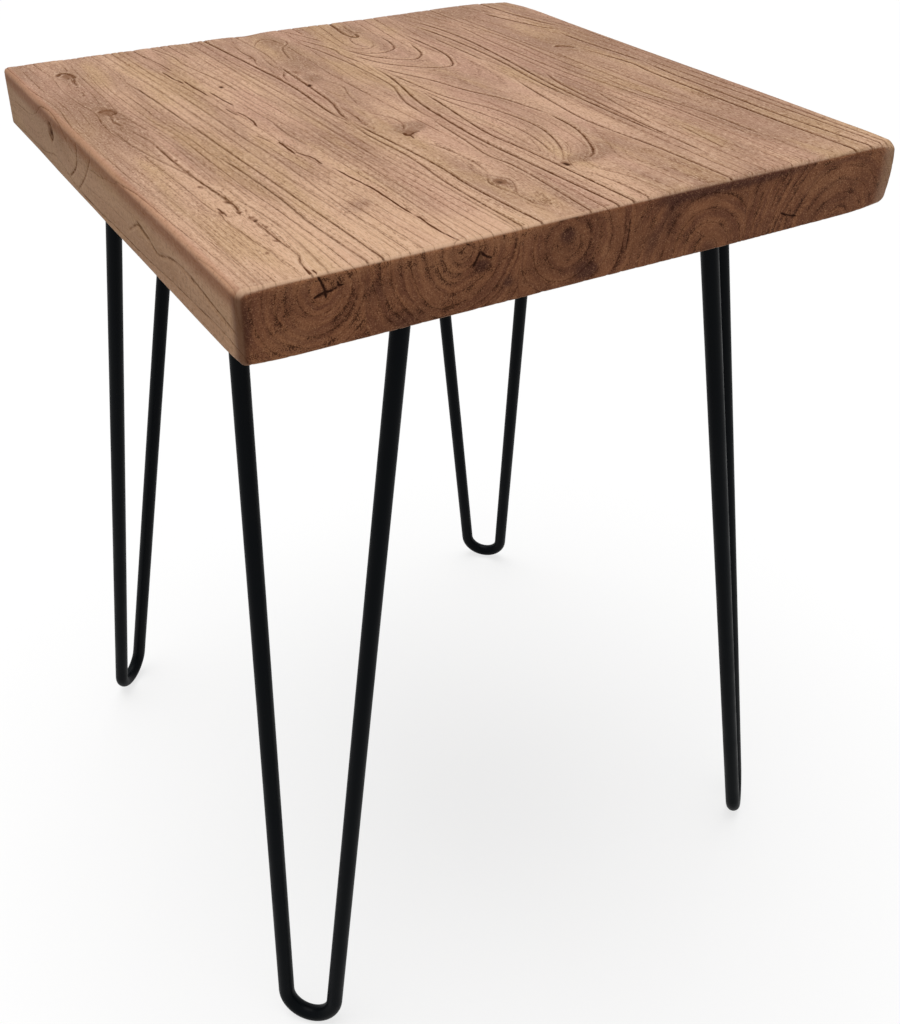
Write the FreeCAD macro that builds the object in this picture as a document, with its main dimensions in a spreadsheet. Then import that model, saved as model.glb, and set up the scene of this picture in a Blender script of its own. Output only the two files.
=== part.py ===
import FreeCAD, Part
import enum
import math
import os
import Sketcher

# Side table: an edge-glued top of five elm staves on four hairpin legs of bent steel rod.
# Frame: +Z up, +X across the staves, +Y along the grain to the back,
# origin on the floor under the middle of the top. Lengths are in millimetres.
# One leg is modelled at the back right corner and mirrored to the other three.

# Driving sizes, each set by itself
SIZES = {
    # staves, counted from the left, and the slab they make
    "left_edge_width": "55.5",
    "left_inner_width": "75",
    "middle_width": "62.5",
    "right_inner_width": "67.5",
    "right_edge_width": "99.5",
    "top_length": "360",
    "top_thickness": "34",
    "arris_radius": "4",
    # hairpin: insets are measured from the two sides of the top to the axis of the rod
    "leg_height": "460",
    "rod_diameter": "9.5",
    "bend_radius": "15.5",
    "rod_inset": "33",
    "rod_spread": "82",
    "foot_inset": "8.5",
    # mounting plate: the margin runs from the axis of the rod end to the edge of the plate
    "plate_thickness": "3",
    "plate_margin": "13",
    "plate_clip": "30",
    "plate_corner_radius": "5",
    # weld bead round each rod end, as radial widths outside the rod
    "weld_height": "4",
    "weld_root_width": "3.5",
    "weld_toe_width": "1.5",
    # wood screw, its length counted under the head
    "screw_margin": "12",
    "screw_diameter": "4",
    "screw_length": "20",
    "screw_tip_length": "5",
    "head_diameter": "8",
    "head_height": "2.6",
    "head_rim_height": "0.8",
    "head_flat_diameter": "5",
    "recess_length": "3.8",
    "recess_width": "0.9",
    "recess_depth": "1.4",
    # clearances round the shank: radial in the plate and in the wood, and past the tip
    "plate_hole_clearance": "0.3",
    "pilot_clearance": "0.1",
    "pilot_depth_clearance": "1",
}

# Sizes that follow from the driving ones
WORKED_OUT = {
    "left_width": "=left_edge_width + left_inner_width",
    "right_width": "=right_inner_width + right_edge_width",
    "top_width": "=left_width + middle_width + right_width",
    "plate_underside": "=leg_height - plate_thickness",
    # step along X and along Y from one rod end to the other
    "rod_step": "=rod_spread / sqrt(2)",
    "plate_side": "=rod_step + 2 * plate_margin",
    # inner corner of the plate
    "plate_x": "=top_width / 2 - rod_inset + plate_margin - plate_side",
    "plate_y": "=top_length / 2 - rod_inset + plate_margin - plate_side",
    # lowest point of the axis of the rod, and the lean of the hairpin from there to the plate
    "foot_x": "=top_width / 2 - foot_inset",
    "foot_y": "=top_length / 2 - foot_inset",
    "foot_z": "=rod_diameter / 2",
    "lean_run": "=sqrt(2) * (rod_inset + rod_step / 2 - foot_inset)",
    "lean_rise": "=plate_underside - foot_z",
    "lean_angle": "=atan(lean_run / lean_rise)",
    "hairpin_length": "=sqrt(lean_run ^ 2 + lean_rise ^ 2)",
    "hairpin_half_spread": "=rod_spread / 2",
    # the rod is bent over-long and sawn off level with the plate
    "uncut_length": "=hairpin_length + rod_diameter",
    "saw_height": "=3 * rod_diameter",
    "rod_radius": "=rod_diameter / 2",
    # screw places on the plate, from its inner corner
    "screw_middle": "=plate_side / 2",
    "screw_far": "=plate_side - screw_margin",
    "plate_hole_radius": "=screw_diameter / 2 + plate_hole_clearance",
    "pilot_depth": "=screw_length - plate_thickness + pilot_depth_clearance",
    # screw profile, from the free end of the head up to the tip
    "head_flat_radius": "=head_flat_diameter / 2",
    "head_radius": "=head_diameter / 2",
    "head_rim_level": "=head_height - head_rim_height",
    "shank_radius": "=screw_diameter / 2",
    "shank_level": "=head_height + screw_length - screw_tip_length",
    "tip_level": "=head_height + screw_length",
}

STAVES = ("left_edge", "left_inner", "middle", "right_inner", "right_edge")
SCREW_PLACES = (
    ("screw_far", "screw_far"),
    ("screw_far", "screw_middle"),
    ("screw_middle", "screw_far"),
    ("screw_margin", "screw_middle"),
    ("screw_middle", "screw_margin"),
)

UPRIGHT_ANGLE = 90
DIAGONAL_ANGLE = 45
FULL_TURN_ANGLE = 360
ACROSS = FreeCAD.Vector(1, 0, 0)
ALONG = FreeCAD.Vector(0, 1, 0)
UP = FreeCAD.Vector(0, 0, 1)


class Axis(enum.IntEnum):
    """How a sketch numbers its own two axes."""
    X = -1
    Y = -2


class Spot(enum.IntEnum):
    """How a sketch numbers the points of a line, arc or circle."""
    START = 1
    END = 2
    CENTRE = 3


ROOT_POINT = (Axis.X, Spot.START)

doc = FreeCAD.newDocument("side_table")
sheet = doc.addObject("Spreadsheet::Sheet", "sizes")


def fill_sheet():
    """Give every size a cell and an alias."""
    for row, (alias, text) in enumerate((SIZES | WORKED_OUT).items(), start=1):
        sheet.set(f"A{row}", text)
        sheet.setAlias(f"A{row}", alias)
    doc.recompute()


def size(alias):
    """Number held by a cell, to lay out a sketch before its constraints take over."""
    return float(getattr(sheet, alias)) if alias else 0.0


def place(piece, x, y, z, turn="rotation(0; 0; 0)"):
    """Bind the placement of a piece to formulas of the sheet's sizes."""
    piece.setExpression("Placement", f"placement(vector({x}; {y}; {z}); {turn})")


def origin_plane(body, role):
    """One of the body's own origin planes, by its role."""
    return next(feature for feature in body.Origin.OriginFeatures if feature.Role == role)


def sketch_on(body, role, name):
    """Empty sketch on an origin plane of the body."""
    sketch = body.newObject("Sketcher::SketchObject", name)
    sketch.AttachmentSupport = [(origin_plane(body, role), "")]
    sketch.MapMode = "FlatFace"
    return sketch


def dimension(sketch, constraint, alias):
    """Add a constraint whose value follows a cell."""
    index = sketch.addConstraint(constraint)
    sketch.setExpression(f"Constraints[{index}]", f"sizes.{alias}")


def locate(sketch, geometry, point, x, y):
    """Fix a sketch point by the aliases of its coordinates; None puts it on the axis."""
    for kind, alias, axis in (("DistanceX", x, Axis.Y), ("DistanceY", y, Axis.X)):
        if alias is None:
            sketch.addConstraint(Sketcher.Constraint("PointOnObject", geometry, point, axis))
        else:
            rule = Sketcher.Constraint(kind, *ROOT_POINT, geometry, point, size(alias))
            dimension(sketch, rule, alias)


def outline(sketch, corners):
    """Closed outline through corners given as pairs of aliases."""
    points = [FreeCAD.Vector(size(x), size(y), 0) for x, y in corners]
    count = len(corners)
    for index in range(count):
        sketch.addGeometry(Part.LineSegment(points[index], points[(index + 1) % count]))
    for index in range(count):
        follows = (index + 1) % count
        sketch.addConstraint(Sketcher.Constraint("Coincident", index, Spot.END, follows, Spot.START))
        locate(sketch, index, Spot.START, *corners[index])


def circle(sketch, radius, x=None, y=None):
    """Circle with its centre and radius bound to aliases."""
    centre = FreeCAD.Vector(size(x), size(y), 0)
    index = sketch.addGeometry(Part.Circle(centre, UP, size(radius)))
    locate(sketch, index, Spot.CENTRE, x, y)
    dimension(sketch, Sketcher.Constraint("Radius", index, size(radius)), radius)


def pad(body, sketch, alias):
    """Raise a sketch to a thickness."""
    feature = body.newObject("PartDesign::Pad", f"{body.Name}_pad")
    feature.Profile = sketch
    feature.setExpression("Length", f"sizes.{alias}")
    doc.recompute()
    return feature


def pocket(body, sketch, alias):
    """Cut a sketch upwards into the body and make sure that it takes material away."""
    before = body.Shape.Volume
    feature = body.newObject("PartDesign::Pocket", f"{body.Name}_pocket")
    feature.Profile = sketch
    feature.Reversed = True
    feature.setExpression("Length", f"sizes.{alias}")
    doc.recompute()
    if body.Shape.Volume >= before:
        raise RuntimeError(f"the pocket of {body.Name} cuts nothing")


def group(name, members):
    """Separate solids kept together under one name."""
    compound = doc.addObject("Part::Compound", name)
    compound.Links = members
    return compound


def cut(name, base, tool):
    """One piece with another taken away."""
    feature = doc.addObject("Part::Cut", name)
    feature.Base = base
    feature.Tool = tool
    return feature


def mirror(name, source, normal):
    """Copy on the other side of a middle plane of the table."""
    feature = doc.addObject("Part::Mirroring", name)
    feature.Source = source
    feature.Normal = normal
    return feature


def to_four_corners(kind, source):
    """Name the piece at the back right corner and mirror it to the other corners."""
    source.Label = f"{kind}_back_right"
    back_left = mirror(f"{kind}_back_left", source, ACROSS)
    front_right = mirror(f"{kind}_front_right", source, ALONG)
    front_left = mirror(f"{kind}_front_left", front_right, ACROSS)
    return [source, back_left, front_right, front_left]


def make_slab():
    """The whole top as one block with eased edges, before it is divided into staves."""
    body = doc.addObject("PartDesign::Body", "slab")
    sketch = sketch_on(body, "XY_Plane", "slab_outline")
    outline(sketch, [(None, None), ("top_width", None), ("top_width", "top_length"), (None, "top_length")])
    block = pad(body, sketch, "top_thickness")
    easing = body.newObject("PartDesign::Fillet", "slab_easing")
    easing.Base = (block, [])
    easing.UseAllEdges = True
    easing.setExpression("Radius", "sizes.arris_radius")
    place(body, "-sizes.top_width / 2", "-sizes.top_length / 2", "sizes.leg_height")
    return body


def make_hairpin():
    """One rod bent at the floor: half of it is swept in the leaning plane and mirrored there."""
    body = doc.addObject("PartDesign::Body", "hairpin")
    path = sketch_on(body, "XY_Plane", "hairpin_path")
    radius = size("bend_radius")
    bend_centre = FreeCAD.Vector(0, radius, 0)
    rod_end = FreeCAD.Vector(size("hairpin_half_spread"), size("hairpin_length"), 0)
    reach = rod_end - bend_centre
    leaving = math.atan2(reach.y, reach.x) - math.acos(radius / reach.Length)
    tangent_point = bend_centre + FreeCAD.Vector(math.cos(leaving), math.sin(leaving), 0) * radius
    direction = rod_end - tangent_point
    saw_end = rod_end + direction * (size("rod_diameter") / direction.y)
    bend_circle = Part.Circle(bend_centre, UP, radius)
    bend = path.addGeometry(Part.ArcOfCircle(bend_circle, -math.pi / 2, leaving))
    straight = path.addGeometry(Part.LineSegment(tangent_point, saw_end))
    weld_point = path.addGeometry(Part.Point(rod_end), True)
    path.addConstraint(Sketcher.Constraint("Coincident", bend, Spot.START, *ROOT_POINT))
    path.addConstraint(Sketcher.Constraint("PointOnObject", bend, Spot.CENTRE, Axis.Y))
    dimension(path, Sketcher.Constraint("Radius", bend, radius), "bend_radius")
    path.addConstraint(Sketcher.Constraint("Tangent", bend, Spot.END, straight, Spot.START))
    locate(path, weld_point, Spot.START, "hairpin_half_spread", "hairpin_length")
    path.addConstraint(Sketcher.Constraint("PointOnObject", weld_point, Spot.START, straight))
    uncut = Sketcher.Constraint("DistanceY", *ROOT_POINT, straight, Spot.END, size("uncut_length"))
    dimension(path, uncut, "uncut_length")
    section = sketch_on(body, "YZ_Plane", "hairpin_section")
    circle(section, "rod_radius")
    doc.recompute()
    half = body.newObject("PartDesign::AdditivePipe", "hairpin_half")
    half.Profile = section
    half.Spine = path
    doc.recompute()
    both = body.newObject("PartDesign::Mirrored", "hairpin_both")
    both.Originals = [half]
    both.MirrorPlane = (origin_plane(body, "YZ_Plane"), [""])
    body.Tip = both
    lean = f"rotation(-{DIAGONAL_ANGLE}; 0; {UPRIGHT_ANGLE} + sizes.lean_angle / 1deg)"
    place(body, "sizes.foot_x", "sizes.foot_y", "sizes.foot_z", lean)
    saw = doc.addObject("Part::Box", "saw")
    saw.setExpression("Length", "sizes.plate_side")
    saw.setExpression("Width", "sizes.plate_side")
    saw.setExpression("Height", "sizes.saw_height")
    place(saw, "sizes.plate_x", "sizes.plate_y", "sizes.plate_underside")
    return cut("sawn_hairpin", body, saw)


def make_plate():
    """Square mounting plate with its inner corner clipped off and five screw holes."""
    body = doc.addObject("PartDesign::Body", "plate")
    sketch = sketch_on(body, "XY_Plane", "plate_outline")
    outline(sketch, [
        ("plate_clip", None),
        ("plate_side", None),
        ("plate_side", "plate_side"),
        (None, "plate_side"),
        (None, "plate_clip"),
    ])
    sheet_metal = pad(body, sketch, "plate_thickness")
    corners = []
    for index, edge in enumerate(sheet_metal.Shape.Edges, start=1):
        if edge.BoundBox.ZLength > max(edge.BoundBox.XLength, edge.BoundBox.YLength):
            corners.append(f"Edge{index}")
    rounding = body.newObject("PartDesign::Fillet", "plate_rounding")
    rounding.Base = (sheet_metal, corners)
    rounding.setExpression("Radius", "sizes.plate_corner_radius")
    doc.recompute()
    holes = sketch_on(body, "XY_Plane", "plate_holes")
    for x, y in SCREW_PLACES:
        circle(holes, "plate_hole_radius", x, y)
    pocket(body, holes, "plate_thickness")
    place(body, "sizes.plate_x", "sizes.plate_y", "sizes.plate_underside")
    return body


def make_welds(hairpin):
    """Weld bead round each rod end, a cone standing against the plate with the rod taken out."""
    near = "sizes.plate_margin"
    far = "sizes.plate_side - sizes.plate_margin"
    beads = []
    for index, (x, y) in enumerate(((far, near), (near, far))):
        bead = doc.addObject("Part::Cone", f"bead_{index}")
        bead.setExpression("Radius1", "sizes.rod_radius + sizes.weld_toe_width")
        bead.setExpression("Radius2", "sizes.rod_radius + sizes.weld_root_width")
        bead.setExpression("Height", "sizes.weld_height")
        bottom = "sizes.plate_underside - sizes.weld_height"
        place(bead, f"sizes.plate_x + {x}", f"sizes.plate_y + {y}", bottom)
        beads.append(bead)
    return cut("welds", group("beads", beads), hairpin)


def make_screw(index, x, y):
    """Pan-head wood screw with a cross recess, driven up through the plate."""
    body = doc.addObject("PartDesign::Body", f"screw_{index}")
    profile = sketch_on(body, "XZ_Plane", f"screw_{index}_profile")
    outline(profile, [
        (None, None),
        ("head_flat_radius", None),
        ("head_radius", "head_rim_level"),
        ("head_radius", "head_height"),
        ("shank_radius", "head_height"),
        ("shank_radius", "shank_level"),
        (None, "tip_level"),
    ])
    turned = body.newObject("PartDesign::Revolution", f"screw_{index}_turned")
    turned.Profile = profile
    turned.ReferenceAxis = (profile, ["V_Axis"])
    turned.Angle = FULL_TURN_ANGLE
    doc.recompute()
    for length, width in (("recess_length", "recess_width"), ("recess_width", "recess_length")):
        slot = sketch_on(body, "XY_Plane", f"screw_{index}_{length}")
        cross_slot(slot, length, width)
        pocket(body, slot, "recess_depth")
    place(body, f"sizes.plate_x + sizes.{x}", f"sizes.plate_y + sizes.{y}",
          "sizes.plate_underside - sizes.head_height")
    return body


def cross_slot(sketch, length, width):
    """Rectangle about the origin for one arm of the cross recess."""
    half_x = size(length) / 2
    half_y = size(width) / 2
    corners = [
        FreeCAD.Vector(-half_x, -half_y, 0),
        FreeCAD.Vector(half_x, -half_y, 0),
        FreeCAD.Vector(half_x, half_y, 0),
        FreeCAD.Vector(-half_x, half_y, 0),
    ]
    for index, corner in enumerate(corners):
        sketch.addGeometry(Part.LineSegment(corner, corners[(index + 1) % len(corners)]))
    bottom, right, top, left = range(len(corners))
    for first, second in ((bottom, right), (right, top), (top, left), (left, bottom)):
        sketch.addConstraint(Sketcher.Constraint("Coincident", first, Spot.END, second, Spot.START))
    for side in (bottom, top):
        sketch.addConstraint(Sketcher.Constraint("Horizontal", side))
    for side in (right, left):
        sketch.addConstraint(Sketcher.Constraint("Vertical", side))
    sketch.addConstraint(Sketcher.Constraint("Symmetric", bottom, Spot.START, right, Spot.END, *ROOT_POINT))
    for kind, side, alias in (("DistanceX", bottom, length), ("DistanceY", right, width)):
        rule = Sketcher.Constraint(kind, side, Spot.START, side, Spot.END, size(alias))
        dimension(sketch, rule, alias)


def make_pilot(index, x, y):
    """Space bored in the wood for the shank of one screw."""
    pilot = doc.addObject("Part::Cylinder", f"pilot_{index}")
    pilot.setExpression("Radius", "sizes.shank_radius + sizes.pilot_clearance")
    pilot.setExpression("Height", "sizes.pilot_depth")
    place(pilot, f"sizes.plate_x + sizes.{x}", f"sizes.plate_y + sizes.{y}", "sizes.leg_height")
    return pilot


def make_staves(slab, pilots):
    """Divide the slab at its glue lines and bore the pilot holes."""
    staves = []
    left = "-sizes.top_width / 2"
    for name in STAVES:
        width = f"sizes.{name}_width"
        strip = doc.addObject("Part::Box", f"{name}_strip")
        strip.setExpression("Length", width)
        strip.setExpression("Width", "sizes.top_length")
        strip.setExpression("Height", "sizes.top_thickness")
        place(strip, left, "-sizes.top_length / 2", "sizes.leg_height")
        sawn = doc.addObject("Part::Common", f"{name}_sawn")
        sawn.Base = slab
        sawn.Tool = strip
        staves.append(cut(f"stave_{name}", sawn, pilots))
        left = f"{left} + {width}"
    return staves


def check(pieces):
    """Stop if anything in the document failed or a piece has no sound solid."""
    for item in doc.Objects:
        if {"Invalid", "Error"} & set(item.State):
            raise RuntimeError(f"{item.Label} failed: {item.State}")
    for piece in pieces:
        if piece.Shape.isNull() or not piece.Shape.isValid() or not piece.Shape.Solids:
            raise RuntimeError(f"{piece.Label} has no sound solid")


def main():
    """Build every piece, check it and write it under its own name."""
    fill_sheet()
    hairpin = make_hairpin()
    screws = [make_screw(index, x, y) for index, (x, y) in enumerate(SCREW_PLACES)]
    pilots = [make_pilot(index, x, y) for index, (x, y) in enumerate(SCREW_PLACES)]
    pilot_groups = to_four_corners("pilots", group("pilots", pilots))
    pieces = make_staves(make_slab(), group("all_pilots", pilot_groups))
    pieces += to_four_corners("hairpin", hairpin)
    pieces += to_four_corners("plate", make_plate())
    pieces += to_four_corners("weld", make_welds(hairpin))
    pieces += to_four_corners("screws", group("screws", screws))
    doc.recompute()
    check(pieces)
    os.makedirs("parts", exist_ok=True)
    for piece in pieces:
        piece.Shape.exportStep(f"parts/{piece.Label}.step")
        print(piece.Label, len(piece.Shape.Solids), "solids", round(piece.Shape.Volume), "mm3")


main()
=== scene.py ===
# %% [markdown]
# # An elm side table on hairpin legs
#
# The table is a thick square top, glued up from five elm staves, on four legs of bent steel rod.
# The CAD model holds every piece at its real size, and Blender dresses it: the staves get grain that
# can be felt, the steel gets its black coat. The model is loaded first and is never moved.

# %% Load the frame
from math import radians

import bmesh
import bpy
import numpy as np
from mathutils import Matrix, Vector


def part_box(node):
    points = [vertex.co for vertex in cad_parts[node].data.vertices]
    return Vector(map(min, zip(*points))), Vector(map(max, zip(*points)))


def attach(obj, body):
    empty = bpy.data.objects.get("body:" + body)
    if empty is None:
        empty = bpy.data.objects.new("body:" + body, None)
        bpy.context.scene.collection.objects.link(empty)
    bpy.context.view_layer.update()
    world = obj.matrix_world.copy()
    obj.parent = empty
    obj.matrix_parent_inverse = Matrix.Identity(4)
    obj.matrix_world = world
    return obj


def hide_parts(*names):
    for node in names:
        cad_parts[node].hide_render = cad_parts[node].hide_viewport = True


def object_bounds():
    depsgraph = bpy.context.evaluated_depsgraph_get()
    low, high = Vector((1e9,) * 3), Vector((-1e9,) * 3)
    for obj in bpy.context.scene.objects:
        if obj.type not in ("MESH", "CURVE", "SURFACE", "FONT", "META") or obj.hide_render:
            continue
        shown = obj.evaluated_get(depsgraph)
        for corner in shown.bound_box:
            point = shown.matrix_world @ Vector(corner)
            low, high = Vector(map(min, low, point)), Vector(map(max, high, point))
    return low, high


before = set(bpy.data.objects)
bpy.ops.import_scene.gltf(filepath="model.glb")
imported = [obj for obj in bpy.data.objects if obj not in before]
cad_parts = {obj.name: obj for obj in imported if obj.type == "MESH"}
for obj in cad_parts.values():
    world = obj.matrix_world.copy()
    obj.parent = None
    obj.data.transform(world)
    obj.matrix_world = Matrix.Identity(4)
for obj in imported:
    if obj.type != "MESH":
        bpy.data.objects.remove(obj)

cad_low, cad_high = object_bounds()
MM = 0.001
print("CAD box in mm:", [round(side / MM, 1) for side in cad_high - cad_low])

# %% [markdown]
# ## Camera
#
# The photograph looks down on the front left corner from standing height. Its vanishing lines give the
# camera's place and turn, and the small shift stands for the way the picture was cropped.


# %% Camera
def select_only(*pieces):
    """Selects these pieces and nothing else, with the first as the active one."""
    bpy.ops.object.select_all(action="DESELECT")
    for piece in reversed(pieces):
        piece.select_set(True)
        bpy.context.view_layer.objects.active = piece


camera_place = (-0.3278, -0.5792, 0.6921)
camera_turn = (radians(55.996), 0, radians(-29.685))
select_only()
bpy.ops.object.camera_add(location=camera_place, rotation=camera_turn)
camera = bpy.context.object
camera.name = "camera"
camera.data.lens = 42.36
camera.data.shift_x = 0.0316
camera.data.shift_y = -0.0327
bpy.context.scene.camera = camera
print("camera stands", round(camera.location.length, 2), "m from the table's foot")

# %% [markdown]
# ## How elm grows
#
# A stave is a slice of a trunk. Its lines are the yearly rings, which are tubes around the heart, so one
# field of ring counts in space draws the straight lines on the top, the arches where a stave is cut on
# the slant, and the circles on the sawn ends, all matching at the edges. Painting each face by itself
# would never meet at the corners. Each stave has its own heart, a line through the wood given as
# (y, x, depth below the top), and a list of yearly lines for each side: how far from the heart, how dark.

# %% Staves
STAVES = {
    "left_edge": dict(
        pitch=5.0, seed=11, rows=4,
        heart=[
            (-180, -144, 8), (-152, -144.5, 6), (-108, -146, 4), (-70, -147, 4), (0, -149.5, 3),
            (40, -153, 2), (66, -153, 1.5), (100, -154, 2), (145, -151, 1), (180, -152, 3),
        ],
        swells=[(-180, 83, 12, 18, 34, 18, 1.6), (-128, 120, 0, 12, 45, 30, -0.5)],
        left=[(5.5, 0.25), (11, 0.35), (16, 0.2), (20.5, 0.35), (26, 0.35), (31, 0.3)],
        right=[(4, 0.3), (8, 0.4), (12, 0.3), (15.5, 0.4), (19.5, 0.4), (24, 0.3)],
    ),
    "left_inner": dict(
        pitch=4.5, seed=23, rows=4,
        heart=[
            (-180, -79, 5), (-120, -82, 3), (-60, -85, 2), (0, -88, 2), (60, -90, 2), (120, -93, 2),
            (180, -95, 2),
        ],
        left=[
            (5, 0.3), (10, 0.3), (14, 0.3), (18.5, 0.4), (25, 0.4), (29, 0.2),
            (33.5, 0.4), (38, 0.4), (42, 0.4),
        ],
        right=[
            (5, 0.35), (9, 0.3), (12, 0.4), (17, 0.4), (21, 0.3), (26, 0.4), (29, 0.3),
            (33.5, 0.3), (37, 0.4),
        ],
    ),
    "middle": dict(
        pitch=6.5, seed=37, rows=4,
        heart=[
            (-180, -23, 13), (-130, -25, 8), (-90, -24, 12), (-48, -27, 8), (0, -25, 12), (60, -29, 9),
            (130, -22, 13), (180, -20, 12),
        ],
        left=[(6, 0.1), (12, 0.2), (19, 0.5), (25, 0.6), (31, 0.4)],
        right=[(6, 0.1), (11, 0.15), (16, 0.4), (23.5, 0.6), (31.5, 0.5), (38, 0.4)],
    ),
    "right_inner": dict(
        pitch=6.5, seed=41, rows=4,
        heart=[
            (-180, 58, 33), (-60, 60, 33), (20, 58, 31), (50, 52, 28), (75, 42, 20), (97, 35, 14),
            (110, 33, 7), (130, 34, 0), (155, 38, -3), (180, 41, -4),
        ],
        swells=[(6, -50, 0, 34, 62, 60, 2.6), (14, -128, 0, 24, 18, 40, -1.6), (6, 128, 0, 9, 30, 40, 1.5)],
        left=[
            (7, 0.4), (14, 0.4), (21, 0.4), (28, 0.5), (35, 0.25), (42, 0.3), (49, 0.3),
            (57, 0.3), (65, 0.3),
        ],
        right=[(7, 0.4), (14, 0.4), (21, 0.4), (28, 0.5), (34, 0.3), (38, 0.4), (44, 0.4)],
    ),
    "right_edge": dict(
        pitch=5.0, seed=53, rows=5,
        heart=[
            (-180, 143, 36), (-60, 142, 35), (50, 141, 34), (90, 142, 34), (150, 127, 35), (180, 119, 36),
        ],
        left=[
            (8, 0.3), (16, 0.3), (23, 0.3), (30, 0.3), (34, 0.2), (38, 0.35), (41.7, 0.4), (45, 0.4),
            (49, 0.4), (53, 0.3), (57.6, 0.3), (62, 0.4), (69, 0.4), (75, 0.4),
        ],
        right=[(8, 0.3), (16, 0.3), (23, 0.3), (30, 0.3), (36.5, 0.3), (39, 0.4), (42.5, 0.4), (46, 0.4)],
    ),
}
print("staves:", ", ".join(STAVES))
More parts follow.
